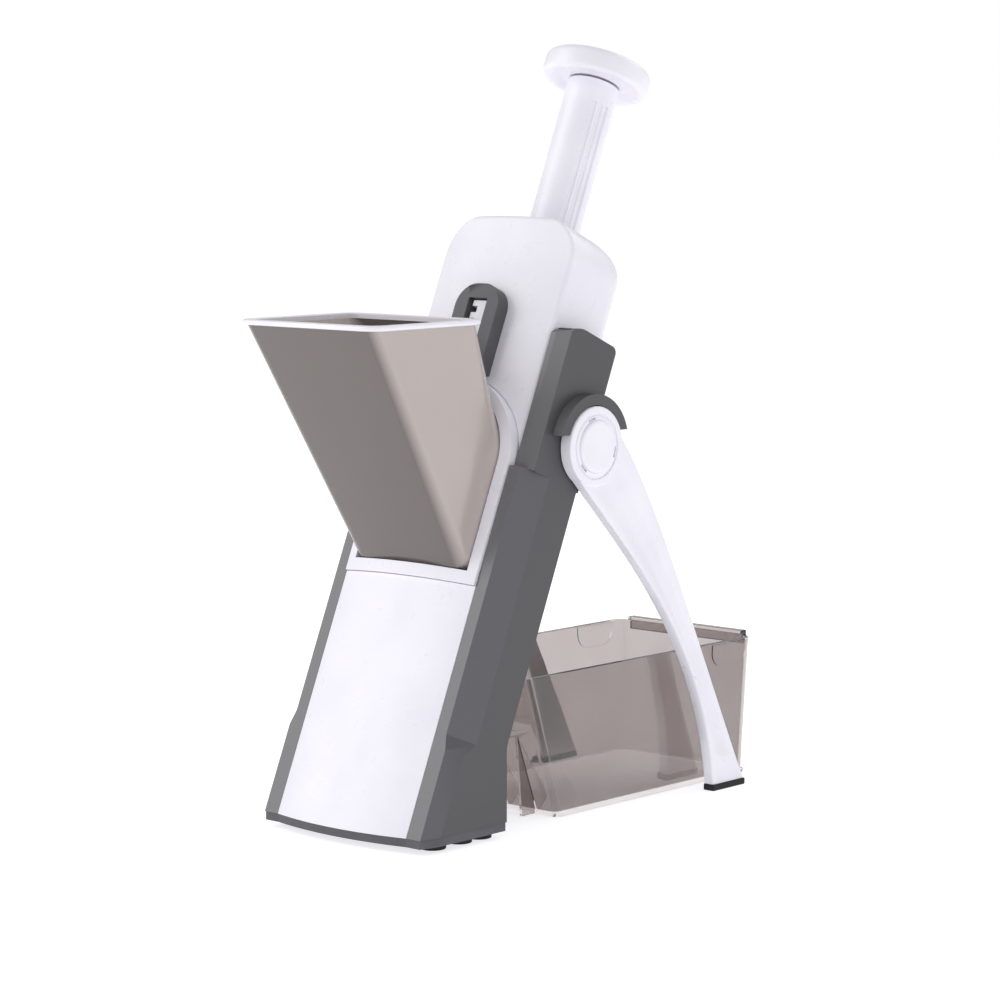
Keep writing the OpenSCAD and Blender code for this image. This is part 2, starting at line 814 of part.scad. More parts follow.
// Ribbed dial whose shaft runs into the left wall
module side_dial(v, r, ribs) {
    head_h = 5;
    x0 = column_half + gap;
    leaning() mirror([1, 0, 0]) translate([0, dial_d, v]) {
        difference() {
            cross_rod(r, x0, x0 + head_h);
            for (i = [0:ribs - 1]) rotate([i * 360 / ribs, 0, 0]) translate([0, r + 0.35, 0])
                cross_rod(0.9, x0 + 1.5, x0 + head_h + 1);
            cross_rod(r - 4, x0 + head_h - 1.2, x0 + head_h + 1);
        }
        translate([x0 + head_h - 1.3, -1.4, 0]) cube([1.3, 2.8, r - 2]);
        cross_rod(dial_shaft_r, core_half - core_t - 0.8, x0 + eps);
    }
}

module thickness_dial() {
    color("white") side_dial(dial_v, dial_r, 30);
}

module strip_dial() {
    color("white") side_dial(strip_dial_v, strip_dial_r, 24);
}

// ---- Legs ----

leg_front = [[-19, -13], [25, -60], [103, -120], [leg_reach, foot_z]];
leg_back = [[21, 7], [55, -30], [leg_reach - 8, -140], [leg_reach + foot_len, foot_z]];
leg_steps = 24;

function edge_point(c, t) = curve(c[0], c[1], c[2], c[3], t);
function mix(a, b, k) = a * (1 - k) + b * k;

// Point of the leg's arm at share t of its length and share k of its width
function arm_point(t, k) = mix(edge_point(leg_front, t), edge_point(leg_back, t), k);

// Outline of the leg's arm between two shares of its width, from t0 to t1 along it
function arm_outline(k0, k1, t0, t1) = concat(
    [for (i = [0:leg_steps]) arm_point(mix(t0, t1, i / leg_steps), k0)],
    [for (i = [0:leg_steps]) arm_point(mix(t1, t0, i / leg_steps), k1)]);

// Places a leg piece drawn in upright directions about the pivot
module at_pivot() {
    translate([0, -y_mid + pivot_y, pivot_z]) children();
}

module leg(side) {
    groove_r = 18.9;
    cap_r = 15;
    recess = 2.4;
    color("white") on_side(side) at_pivot() difference() {
        union() {
            cross_rod(hub_r, leg_x0, leg_x1);
            across(leg_x0, leg_x1) polygon(arm_outline(0, 1, 0, 1));
        }
        cross_rod(pin_r + run_fit, 0, leg_x1 - 2.8);
        difference() {
            cross_rod(groove_r, leg_x1 - 1.2, big);
            cross_rod(groove_r - 1.2, 0, big);
        }
        cross_rod(cap_r + run_fit, leg_x1 - 1.5, big);
        hub_slots(cap_r + 0.7, groove_r - 2);
        across(leg_x1 - recess, big) difference() {
            polygon(arm_outline(0.18, 0.82, 0.16, 0.93));
            circle(hub_r + 3, $fn = 96);
        }
    }
}

// Three short arc slots round the hub's cap
module hub_slots(r0, r1) {
    for (a = [90, 210, 330]) difference() {
        cross_rod(r1, leg_x1 - 1.2, big);
        cross_rod(r0, 0, big);
        rotate([a, 0, 0]) translate([0, -big / 2, -big]) cube([big, big, big + 0.86 * r1]);
    }
}

module hub_cap(side) {
    cap_r = 15;
    depth = 1.5;
    dome = 1.4;
    color("white") on_side(side) at_pivot() rotate([0, 90, 0]) translate([0, 0, leg_x1 - depth])
        rotate_extrude($fn = 128) polygon(concat([[0, 0], [cap_r, 0], [cap_r, depth]],
            [for (i = [1:6]) [cap_r * cos(i * 15), depth + dome * sin(i * 15)]]));
}

module leg_shoe(side) {
    wrap = 0.6;
    color("black") on_side(side) at_pivot() translate([leg_x0, leg_reach - wrap, -pivot_z])
        cube([leg_t, foot_len + 2 * wrap, shoe_h - eps]);
}

// ---- Hopper ----

// Outline of the hopper's opening at the rim, pulled in by inset
module funnel_outline(inset, corner) {
    tuck = rim_w - 0.5 + inset;
    rounded_box(rim_half - tuck, tuck - rim_front, rim_back - tuck, corner - inset);
}

// Slab of the hopper's top outline at the rim
module funnel_top(inset, z0, z1) {
    upright() translate([0, 0, z0]) linear_extrude(z1 - z0) funnel_outline(inset, 10);
}

// Outline of the hopper's neck, which fills the throat's arch
module neck_outline(inset) {
    half = neck_half - inset;
    intersection() {
        arch(half, neck_v0 + inset, arch_v);
        rounded_box(half, neck_v0 + inset, arch_v + neck_half + neck_corner_r, neck_corner_r - inset);
    }
}

// Slab of the hopper's lower outline where it meets the neck
module funnel_foot(inset, d0, d1) {
    leaning() through(d0, d1) neck_outline(inset);
}

module hopper_funnel() {
    color("rosybrown", 0.6) difference() {
        hull() {
            funnel_top(0, rim_z - rim_t - 1, rim_z - rim_t);
            funnel_foot(0, neck_d0, neck_d0 + 0.5);
        }
        hull() {
            funnel_top(hopper_t, rim_z - rim_t - 1, rim_z - rim_t + 0.2);
            funnel_foot(hopper_t, neck_d0 - 0.2, neck_d0 + 0.7);
        }
    }
}

module hopper_rim() {
    color("white") upright() translate([0, 0, rim_z - rim_t]) linear_extrude(rim_t) difference() {
        rounded_box(rim_half, -rim_front, rim_back, 13);
        funnel_outline(hopper_t, 10);
    }
}

module hopper_neck() {
    neck_d1 = throat_d - 3;
    color("rosybrown", 0.6) leaning() through(neck_d0 + 0.5, neck_d1) difference() {
        neck_outline(0);
        neck_outline(hopper_t);
    }
}

// ---- Catch bin ----

module bin_form(inset, z0, z1) {
    low = bin_half - bin_taper - inset;
    high = bin_half - inset;
    hull() {
        upright() translate([0, 0, z0]) linear_extrude(0.1)
            rounded_box(low, bin_front + bin_rake + inset, bin_back - 2 - inset, 7 - inset);
        upright() translate([0, 0, z1 - 0.1]) linear_extrude(0.1)
            rounded_box(high, bin_front + inset, bin_back - inset, 9 - inset);
    }
}

module catch_bin() {
    skirt = 1.2;
    floor_t = 3;
    low = bin_half - bin_taper + skirt;
    color("rosybrown", 0.5) difference() {
        union() {
            bin_form(0, 0.4, bin_h);
            upright() linear_extrude(floor_t)
                rounded_box(low, bin_front + bin_rake - skirt, bin_back - 2 + skirt, 7 + skirt);
        }
        bin_form(bin_t, floor_t, bin_h + 0.2);
    }
}

module bin_handle() {
    half = bin_half - 9;
    drop = 6;
    color("dimgray", 0.9) upright() {
        translate([-half, bin_back - bin_t, bin_h]) cube([2 * half, bin_t + bin_handle_w, 2.2]);
        translate([-half, bin_back + 1, bin_h - drop]) cube([2 * half, bin_handle_w - 1, drop + eps]);
    }
}

base_plate();
foot_pads();
front_panel();
throat_frame();
head_shell();
rear_cover();
inner_frame();
lower_back();
rail(1);  // right_rail
rail(-1);  // left_rail
outlet_chute();
guide_bracket();
shaft_bushing();
guide_rods();
return_springs();
lock_housing();
lock_slider();
cover_screws();
hinge_pin(1);  // right_hinge_pin
hinge_pin(-1);  // left_hinge_pin
pin_clip(1);  // right_pin_clip
pin_clip(-1);  // left_pin_clip
push_knob();
plunger_tube();
blade_carriage();
slicing_blade();
blade_screws();
thickness_plate();
comb_bar();
comb_blades();
thickness_dial();
strip_dial();
leg(1);  // right_leg
leg(-1);  // left_leg
hub_cap(1);  // right_hub_cap
hub_cap(-1);  // left_hub_cap
leg_shoe(1);  // right_leg_shoe
leg_shoe(-1);  // left_leg_shoe
hopper_funnel();
hopper_rim();
hopper_neck();
catch_bin();
bin_handle();
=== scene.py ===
import json
import math

import bmesh
import bpy
from mathutils import Matrix, Vector


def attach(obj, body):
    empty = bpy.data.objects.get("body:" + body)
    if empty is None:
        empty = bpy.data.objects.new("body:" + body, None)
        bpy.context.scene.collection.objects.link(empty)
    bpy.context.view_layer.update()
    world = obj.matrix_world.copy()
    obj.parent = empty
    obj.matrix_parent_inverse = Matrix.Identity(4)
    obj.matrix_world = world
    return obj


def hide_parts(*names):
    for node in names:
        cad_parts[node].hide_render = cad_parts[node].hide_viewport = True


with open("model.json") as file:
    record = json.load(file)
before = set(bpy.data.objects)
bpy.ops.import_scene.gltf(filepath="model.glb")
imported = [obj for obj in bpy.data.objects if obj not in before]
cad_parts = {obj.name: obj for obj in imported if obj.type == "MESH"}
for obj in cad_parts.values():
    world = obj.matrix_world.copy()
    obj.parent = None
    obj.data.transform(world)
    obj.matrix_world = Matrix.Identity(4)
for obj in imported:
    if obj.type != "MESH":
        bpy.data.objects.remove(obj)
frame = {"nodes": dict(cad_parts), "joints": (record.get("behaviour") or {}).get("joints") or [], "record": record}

MM = 0.001
NODES = frame["nodes"]
BODY_OF = {n: b for b, nodes in frame["record"]["behaviour"]["bodies"].items() for n in nodes}
SLOT_OF = {s["node"]: s["material_slot"] for s in frame["record"]["subparts"]}
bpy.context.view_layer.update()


# ---- Where things are: the column's own leaning frame ----

def joint(name):
    return next(j for j in frame["joints"] if j["name"] == name)


PIVOT_D = 43.8
PIVOT_V = 245.4
UP = -Vector(joint("plunger_press")["axis"])
BACK = Vector((0, UP.z, -UP.y))
LEAN = math.atan2(UP.y, UP.z)
PIVOT = Vector((0, *joint("right_leg_fold")["pos_m"][1:]))
FOOT_OF_COLUMN = PIVOT - PIVOT_D * MM * BACK - PIVOT_V * MM * UP


def lean(x, d, v):
    """Point x across, d behind the front plane and v along the column, all in millimetres."""
    return FOOT_OF_COLUMN + Vector((x * MM, 0, 0)) + d * MM * BACK + v * MM * UP


def level(x, y, z):
    """Point in upright millimetres, y counted from the column's lower front edge, z from the ground."""
    return Vector((x * MM, FOOT_OF_COLUMN.y + y * MM, z * MM))


# ---- Materials ----

def linear(code):
    """sRGB hex colour as linear RGBA."""
    values = [int(code[i:i + 2], 16) / 255 for i in (1, 3, 5)]
    return [c / 12.92 if c <= 0.04045 else ((c + 0.055) / 1.055) ** 2.4 for c in values] + [1]


def add(tree, kind, settings=None, inputs=None, links=None):
    """Adds one node with its settings, its fixed inputs and its links from other nodes' outputs."""
    node = tree.nodes.new(kind)
    for name, value in (settings or {}).items():
        setattr(node, name, value)
    for name, value in (inputs or {}).items():
        node.inputs[name].default_value = value
    for name, output in (links or {}).items():
        tree.links.new(output, node.inputs[name])
    return node


def new_material(name, **inputs):
    material = bpy.data.materials.new(name)
    material.use_nodes = True
    tree = material.node_tree
    shader = tree.nodes["Principled BSDF"]
    for socket, value in inputs.items():
        shader.inputs[socket.replace("_", " ")].default_value = value
    place = add(tree, "ShaderNodeTexCoord").outputs["Object"]
    return material, tree, shader, place


def grain(tree, place, per_mm, detail=2.0):
    """Fine noise with about per_mm grains to the millimetre."""
    noise = add(tree, "ShaderNodeTexNoise", inputs={"Scale": per_mm / MM, "Detail": detail}, links={"Vector": place})
    return noise.outputs["Fac"]


def bump(tree, shader, height, depth_mm, strength=1.0):
    node = add(tree, "ShaderNodeBump", inputs={"Strength": strength, "Distance": depth_mm * MM},
               links={"Height": height})
    tree.links.new(node.outputs["Normal"], shader.inputs["Normal"])


def spread(tree, source, low, high):
    """Maps a pattern's middle values to low and high."""
    reach = {"From Min": 0.3, "From Max": 0.7, "To Min": low, "To Max": high}
    return add(tree, "ShaderNodeMapRange", inputs=reach, links={"Value": source}).outputs["Result"]


def two_tones(tree, shader, factor, dark, light):
    ramp = add(tree, "ShaderNodeValToRGB", links={"Fac": factor})
    ramp.color_ramp.elements[0].position, ramp.color_ramp.elements[1].position = 0.35, 0.65
    ramp.color_ramp.elements[0].color, ramp.color_ramp.elements[1].color = linear(dark), linear(light)
    tree.links.new(ramp.outputs["Color"], shader.inputs["Base Color"])


def facing(tree, axis):
    """How squarely a face looks along the part's own X or Y, from 0 to 1; the mask for painted light and shade by
    facing.
    """
    direction = add(tree, "ShaderNodeTexCoord").outputs["Normal"]
    parts = add(tree, "ShaderNodeSeparateXYZ", links={"Vector": direction})
    size = add(tree, "ShaderNodeMath", {"operation": "ABSOLUTE"}, links={0: parts.outputs[axis]})
    return size.outputs["Value"]


def tones_painted_by_facing(tree, shader, factor, stops):
    """Base colour from a row of (position, colour) along factor; with a facing mask this paints light and shade into
    the colour.
    """
    node = add(tree, "ShaderNodeValToRGB", links={"Fac": factor})
    elements = node.color_ramp.elements
    while len(elements) < len(stops):
        elements.new(0.5)
    for element, (position, colour) in zip(elements, stops):
        element.position, element.color = position, linear(colour)
    tree.links.new(node.outputs["Color"], shader.inputs["Base Color"])


def polished_white_abs():
    """Injection-moulded ABS from a polished tool: cool white, soft gloss, faint long waves in the skin."""
    material, tree, shader, place = new_material("polished_white_abs", Roughness=0.3, IOR=1.54)
    shader.inputs["Subsurface Weight"].default_value = 0.06
    shader.inputs["Subsurface Radius"].default_value = (0.0012, 0.0012, 0.0014)
    shader.inputs["Subsurface Scale"].default_value = 1.0
    two_tones(tree, shader, grain(tree, place, 0.03), "#efedf6", "#f4f2fa")
    tree.links.new(spread(tree, grain(tree, place, 0.09, 3), 0.26, 0.36), shader.inputs["Roughness"])
    bump(tree, shader, grain(tree, place, 0.035), 0.25, 0.05)
    return material


def eroded_dark_abs():
    """ABS from a spark-eroded tool: charcoal, matt, with a fine grain, and with painted light that sets it paler
    where it faces the front.
    """
    material, tree, shader, place = new_material("eroded_dark_abs", Roughness=0.42, IOR=1.58)
    fine = grain(tree, place, 2.8, 3)
    # painted light and shade: front-facing faces get a paler base colour, side faces a darker one
    tones_painted_by_facing(tree, shader, facing(tree, "Y"), [(0.02, "#464649"), (0.25, "#59585d"), (0.9, "#707073")])
    tree.links.new(spread(tree, fine, 0.36, 0.48), shader.inputs["Roughness"])
    bump(tree, shader, fine, 0.03, 0.5)
    return material


def eroded_grey_abs():
    """The lock strip and the base: a lighter charcoal of the same grain."""
    material, tree, shader, place = new_material("eroded_grey_abs", Roughness=0.45, IOR=1.54)
    fine = grain(tree, place, 3.0, 3)
    two_tones(tree, shader, grain(tree, place, 0.06, 3), "#4c4c50", "#545458")
    tree.links.new(spread(tree, fine, 0.4, 0.52), shader.inputs["Roughness"])
    bump(tree, shader, fine, 0.03, 0.45)
    return material


def natural_acetal():
    """Unpigmented acetal: milky off-white, waxy, for the sliding pieces inside."""
    material, tree, shader, place = new_material("natural_acetal", Roughness=0.42, IOR=1.48)
    shader.inputs["Subsurface Weight"].default_value = 0.15
    shader.inputs["Subsurface Radius"].default_value = (0.002, 0.002, 0.002)
    two_tones(tree, shader, grain(tree, place, 0.06), "#dcdad9", "#e4e2e1")
    bump(tree, shader, grain(tree, place, 0.6), 0.04, 0.3)
    return material


def smoky_styrene():
    """Smoke-tinted clear styrene: a thin polished wall that keeps about two thirds of the light."""
    material, tree, shader, place = new_material("smoky_styrene", Roughness=0.03, IOR=1.57)
    shader.inputs["Transmission Weight"].default_value = 1.0
    two_tones(tree, shader, grain(tree, place, 0.02), "#b4acaa", "#b9b2b0")
    bump(tree, shader, grain(tree, place, 0.02), 0.3, 0.05)
    return material


def dense_smoky_styrene():
    """The hopper's denser smoke tint: satin, with painted light and shade that set the side walls lighter and the
    front wall darker.
    """
    material, tree, shader, place = new_material("dense_smoky_styrene", Roughness=0.16, IOR=1.57)
    shader.inputs["Transmission Weight"].default_value = 0.4
    # painted light and shade: faces turned along X, the side walls, get a light base colour, the front wall a dark
    # one
    tones_painted_by_facing(tree, shader, facing(tree, "X"), [(0.15, "#7e7471"), (0.9, "#dbd0cb")])
    tree.links.new(spread(tree, grain(tree, place, 0.05, 3), 0.12, 0.2), shader.inputs["Roughness"])
    bump(tree, shader, grain(tree, place, 0.03), 0.3, 0.08)
    return material


def ground_blade_steel():
    """Hardened stainless strip, ground along its length: bright with fine scratches across the view."""
    material, tree, shader, place = new_material("ground_blade_steel", Metallic=1.0, Roughness=0.24)
    along = add(tree, "ShaderNodeMapping", inputs={"Scale": (0.04, 1.0, 1.0)}, links={"Vector": place})
    scratch = grain(tree, along.outputs["Vector"], 5.0, 4)
    two_tones(tree, shader, scratch, "#bfc1c4", "#d3d5d8")
    tree.links.new(spread(tree, scratch, 0.18, 0.34), shader.inputs["Roughness"])
    bump(tree, shader, scratch, 0.01, 0.4)
    return material


def drawn_spring_steel():
    """Drawn and oiled music wire: dark bright grey."""
    material, tree, shader, place = new_material("drawn_spring_steel", Metallic=1.0, Roughness=0.3)
    two_tones(tree, shader, grain(tree, place, 0.8, 3), "#8e8f91", "#a3a4a6")
    bump(tree, shader, grain(tree, place, 3.0), 0.01, 0.3)
    return material


def zinc_plated_steel():
    """Zinc-plated screws, rods and pins: pale bluish grey with a faint spangle."""
    material, tree, shader, place = new_material("zinc_plated_steel", Metallic=1.0, Roughness=0.3)
    spangle = add(tree, "ShaderNodeTexVoronoi", inputs={"Scale": 0.5 / MM}, links={"Vector": place})
    two_tones(tree, shader, spangle.outputs["Distance"], "#a9adb1", "#bdc1c5")
    tree.links.new(spread(tree, grain(tree, place, 0.7, 3), 0.24, 0.4), shader.inputs["Roughness"])
    return material


def moulded_rubber():
    """Black moulded rubber: matt, with a soft powdery bloom."""
    material, tree, shader, place = new_material("moulded_rubber", Roughness=0.75, IOR=1.5)
    two_tones(tree, shader, grain(tree, place, 0.3, 3), "#151516", "#1f1f20")
    bump(tree, shader, grain(tree, place, 1.6, 3), 0.05, 0.5)
    return material


MATERIALS = {
    "white_abs": polished_white_abs(), "dark_abs": eroded_dark_abs(), "grey_abs": eroded_grey_abs(),
    "inner_plastic": natural_acetal(), "smoky_hopper": dense_smoky_styrene(), "smoky_clear": smoky_styrene(),
    "blade_steel": ground_blade_steel(), "spring_steel": drawn_spring_steel(),
    "zinc_steel": zinc_plated_steel(), "black_rubber": moulded_rubber(),
}


# ---- Making pieces ----

SHARP = math.radians(34)


def piece(name, mesh, node, extra=(), sharp=SHARP):
    """Puts a finished mesh in the scene in place of a CAD node, with that node's body, slot and material."""
    obj = bpy.data.objects.new(name, mesh)
    bpy.context.scene.collection.objects.link(obj)
    mesh.materials.clear()
    mesh.materials.append(MATERIALS[SLOT_OF[node]])
    mesh.shade_smooth()
    mesh.set_sharp_from_angle(angle=sharp)
    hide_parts(node, *extra)
    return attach(obj, BODY_OF[node])


def mesh_of(name, points, faces):
    mesh = bpy.data.meshes.new(name)
    mesh.from_pydata([tuple(p) for p in points], [], faces)
    return tidied(mesh)


def tidied(mesh):
    """Merges doubles and turns all faces outwards."""
    bm = bmesh.new()
    bm.from_mesh(mesh)
    bmesh.ops.remove_doubles(bm, verts=bm.verts, dist=0.002 * MM)
    bmesh.ops.dissolve_degenerate(bm, edges=bm.edges, dist=0.001 * MM)
    bmesh.ops.recalc_face_normals(bm, faces=bm.faces)
    bm.to_mesh(mesh)
    bm.free()
    return mesh


def loft(name, rings, closed=False):
    """Skin through rings of equally many points; its ends are capped unless closed joins last to first."""
    count = len(rings[0])
    points = [p for ring in rings for p in ring]
    faces = []
    for i in range(len(rings) - (0 if closed else 1)):
        a, b = i * count, (i + 1) % len(rings) * count
        faces += [(a + j, a + (j + 1) % count, b + (j + 1) % count, b + j) for j in range(count)]
    if not closed:
        faces += [tuple(range(count))[::-1], tuple(range(len(points) - count, len(points)))]
    return mesh_of(name, points, faces)


def lathe(name, profile, place, steps=96):
    """Turns a profile of (radius, height) round an axis. place puts (x, y, height) where it belongs."""
    rings = []
    for r, h in profile:
        rings.append([place(r * math.cos(2 * math.pi * i / steps), r * math.sin(2 * math.pi * i / steps), h)
                      for i in range(steps)])
    return loft(name, rings)


def arc(cx, cy, r, start, end, steps):
    """Points on an arc, angles in degrees."""
    angles = [math.radians(start + (end - start) * i / steps) for i in range(steps + 1)]
    return [(cx + r * math.cos(a), cy + r * math.sin(a)) for a in angles]


def result_of(obj):
    """The object's mesh with its modifiers applied; the object is removed."""
    graph = bpy.context.evaluated_depsgraph_get()
    graph.update()
    mesh = bpy.data.meshes.new_from_object(obj.evaluated_get(graph))
    obj.modifiers.clear()
    bpy.data.objects.remove(obj)
    return mesh


def loose(name, mesh):
    obj = bpy.data.objects.new(name, mesh)
    bpy.context.scene.collection.objects.link(obj)
    return obj


def combined(mesh, others, operation):
    """Joins other closed meshes to a closed mesh, or cuts them out of it."""
    obj = loose("work", mesh)
    tools = [loose("tool", other) for other in others]
    for tool in tools:
        modifier = obj.modifiers.new("bool", "BOOLEAN")
        modifier.operation, modifier.object, modifier.solver = operation, tool, "EXACT"
    mesh = result_of(obj)
    for tool in tools:
        bpy.data.objects.remove(tool)
    return tidied(mesh)


def bevelled(mesh, width_mm):
    """Breaks the sharp edges with small radii, as a moulding tool leaves them."""
    obj = loose("work", mesh)
    modifier = obj.modifiers.new("bevel", "BEVEL")
    modifier.width, modifier.segments = width_mm * MM, 2
    modifier.limit_method, modifier.angle_limit = "ANGLE", math.radians(FACET_ANGLE)
    modifier.use_clamp_overlap = True
    modifier.miter_outer = "MITER_ARC"
    return result_of(obj)


def clean_copy(node):
    """A welded copy of a CAD node's mesh whose flat faces are whole."""
    mesh = NODES[node].data.copy()
    bm = bmesh.new()
    bm.from_mesh(mesh)
    bmesh.ops.remove_doubles(bm, verts=bm.verts, dist=0.001 * MM)
    bmesh.ops.dissolve_limit(bm, angle_limit=math.radians(0.5), verts=bm.verts, edges=bm.edges)
    bm.to_mesh(mesh)
    bm.free()
    return mesh


FLAT_SIDED = {"right_rail", "left_rail", "base_plate", "lower_back", "front_panel", "bin_handle",
              "outlet_chute"}
FACET_ANGLE, FLAT_ANGLE = 12, 3


def soften(node, width_mm):
    """Breaks a CAD node's edges, down to a shallow facet's, and keeps the facets of flat-sided pieces flat."""
    mesh = bevelled(clean_copy(node), width_mm)
    piece(node + "_moulded", mesh, node, sharp=math.radians(FLAT_ANGLE if node in FLAT_SIDED else FACET_ANGLE))


# ---- Head ----

PANEL_R = 211.3
HEAD_HALF, HEAD_BACK, HEAD_TOP = 49.5, 57.0, 368.5
HEAD_CORNER_R, HEAD_CROWN_R, HEAD_BACK_R = 25.0, 20.0, 12.0
HEAD_EDGE_R = 2.6
HEAD_WALL = 2.4
HEAD_BOTTOM = 148.0


def convex(x):
    """Depth of the column's convex front at x."""
    return PANEL_R - math.sqrt(PANEL_R ** 2 - x ** 2)


def head_ring(v, half, back, front, edge_r, back_r):
    """Half outline from the middle of the front round to the middle of the back, mirrored to a ring."""
    across = [half - edge_r, convex(half - edge_r) + front]
    points = [((half - edge_r) * i / 16, convex((half - edge_r) * i / 16) + front) for i in range(17)]
    points += arc(across[0], across[1] + edge_r, edge_r, -82, 0, 6)[1:]
    points += arc(half - back_r, back - back_r, back_r, 0, 90, 8)
    points += [((half - back_r) * (1 - i / 6), back) for i in range(1, 7)]
    mirrored = [(-x, d) for x, d in points[1:-1]][::-1]
    return [lean(x, d, v) for x, d in points + mirrored]


def head_form(inset, v0):
    """Closed form of the head, shrunk by inset."""
    half, back, top = HEAD_HALF - inset, HEAD_BACK - inset, HEAD_TOP - inset
    corner_r, crown_r, edge_r = HEAD_CORNER_R - inset, HEAD_CROWN_R - inset, HEAD_EDGE_R
    levels = [v0 + (top - corner_r - v0) * i / 8 for i in range(9)]
    levels += [top - corner_r + corner_r * math.sin(math.radians(6 * i)) for i in range(1, 16)]
    rings = []
    for v in levels:
        corner = max(0.0, v - (top - corner_r)) / corner_r
        crown = max(0.0, v - (top - crown_r)) / crown_r
        brow = max(0.0, v - (top - edge_r)) / edge_r
        ring_half = half - corner_r * (1 - math.sqrt(max(0.0, 1 - corner ** 2)))
        ring_back = back - crown_r * (1 - math.sqrt(max(0.0, 1 - crown ** 2)))
        ring_front = inset + edge_r * (1 - math.sqrt(max(0.0, 1 - brow ** 2)))
        rings.append(head_ring(v, ring_half, ring_back, ring_front, edge_r, HEAD_BACK_R - inset))
    return loft("head", rings)


def prism(name, outline, place, low, high):
    """Extrudes an outline; place turns (a, b, depth) into a point."""
    return loft(name, [[place(a, b, depth) for a, b in outline] for depth in (low, high)])


def box_mesh(x0, x1, d0, d1, v0, v1):
    outline = [(x0, d0), (x1, d0), (x1, d1), (x0, d1)]
    return prism("box", outline, lean, v0, v1)


ARCH_V, ARCH_HALF = 218.0, 49.7
TUBE_D, TUBE_R, TUBE_WALL = 38.0, 15.5, 2.4
RAIL_D = 46.4
HOUSING_TOP = 306.0
WIDE, FAR_BACK = 60, 80


def arch_outline(half, v0):
    return [(half, v0)] + arc(0, ARCH_V, half, 0, 180, 48) + [(-half, v0)]


def head_shell():
    gap = 0.3
    low = HEAD_BOTTOM - 5
    arch = prism("arch", arch_outline(ARCH_HALF + gap, low), lambda x, v, d: lean(x, d, v), -20, 8.9)
    rear = box_mesh(-WIDE, WIDE, RAIL_D, FAR_BACK, low, HOUSING_TOP - gap)
    hole = lathe("hole", [(TUBE_R + gap, HEAD_TOP - 17), (TUBE_R + gap, HEAD_TOP + 20)],
                 lambda x, y, h: lean(x, TUBE_D + y, h))
    cuts = [head_form(HEAD_WALL, HEAD_BOTTOM - 2), arch, rear, hole]
    piece("head_shell_moulded", combined(head_form(0, HEAD_BOTTOM), cuts, "DIFFERENCE"), "head_shell")


def rear_cover():
    v0, v1 = 142.0, HOUSING_TOP - 0.6
    keep = box_mesh(-WIDE, WIDE, RAIL_D, FAR_BACK, v0, v1)
    mesh = combined(head_form(0, v0 - 4), [head_form(HEAD_WALL, v0 - 6)], "DIFFERENCE")
    mesh = combined(mesh, [keep], "INTERSECT")
    piece("rear_cover_moulded", mesh, "rear_cover")


# ---- Knob and tube ----

def on_tube(x, y, h):
    return lean(x, TUBE_D + y, h)


def push_knob():
    """Round cap with a soft crowned top and a hollow underside that rises to the tube."""
    bottom, top, r = 466.5, 480.5, 32.0
    profile = [(0, top - 0.7), (12, top - 0.45), (22, top - 0.1)]
    profile += [(x, h) for x, h in arc(r - 4.5, top - 4.5, 4.5, 90, 8, 9)]
    profile += [(r, bottom + 4)] + arc(r - 2.2, bottom + 2.2, 2.2, 0, -70, 5)
    profile += [(r - 3.4, bottom + 0.1), (r - 5, bottom + 0.9), (24, bottom + 3.4)]
    profile += [(TUBE_R + 2.5, bottom + 4.6), (TUBE_R + 1.2, bottom + 4.2), (TUBE_R + 0.3, bottom + 3.2)]
    profile += [(TUBE_R + 0.05, bottom + 1.4), (TUBE_R - 2, bottom + 1.4), (0, bottom + 1.4)]
    mesh = lathe("knob", profile, on_tube, 128)
    piece("push_knob_moulded", mesh, "push_knob")


def plunger_tube():
    """Tube with a long shallow channel that ends below the knob, and a fine line on both its sides."""
    low, high = 312.0, 466.4
    groove_top, half_angle, depth = 452.5, 20.0, 1.1
    turn = -20.0
    steps = 144

    def radius(angle, v):
        off = abs((angle - turn + 180) % 360 - 180)
        if v > groove_top or off > half_angle:
            return TUBE_R
        rib = 0.55 if 6.0 < off < 10.5 else 0.0
        return TUBE_R - depth + rib

    def ring(v, radius_at):
        angles = [360 * i / steps for i in range(steps)]
        return [on_tube(radius_at(a, v) * math.cos(math.radians(a)), radius_at(a, v) * math.sin(math.radians(a)), v)
                for a in angles]

    levels = [low, 380.0, 430.0, groove_top - 0.01, groove_top + 0.01, 460.0, high]
    outer = [ring(v, radius) for v in levels]
    inner = [ring(v, lambda a, v: TUBE_R - TUBE_WALL) for v in (high - 4, low)]
    piece("plunger_tube_moulded", loft("tube", outer + inner, closed=True), "plunger_tube")


# ---- Legs ----

LEG_X0, LEG_X1 = 63.9, 71.9
HUB_R = 23.1
FOOT_Z = 4 - PIVOT.z / MM
LEG_FRONT = [(-19, -13), (25, -60), (103, -120), (111.5, FOOT_Z)]
LEG_BACK = [(21, 7), (55, -30), (103.5, -140), (141.5, FOOT_Z)]


def cubic(c, t):
    weights = [(1 - t) ** 3, 3 * t * (1 - t) ** 2, 3 * t * t * (1 - t), t ** 3]
    return [sum(w * p[i] for w, p in zip(weights, c)) for i in (0, 1)]


def smooth(low, high, value):
    t = min(1.0, max(0.0, (value - low) / (high - low)))
    return t * t * (3 - 2 * t)


def about_pivot(x, y, z):
    return PIVOT + Vector((x, y, z)) * MM


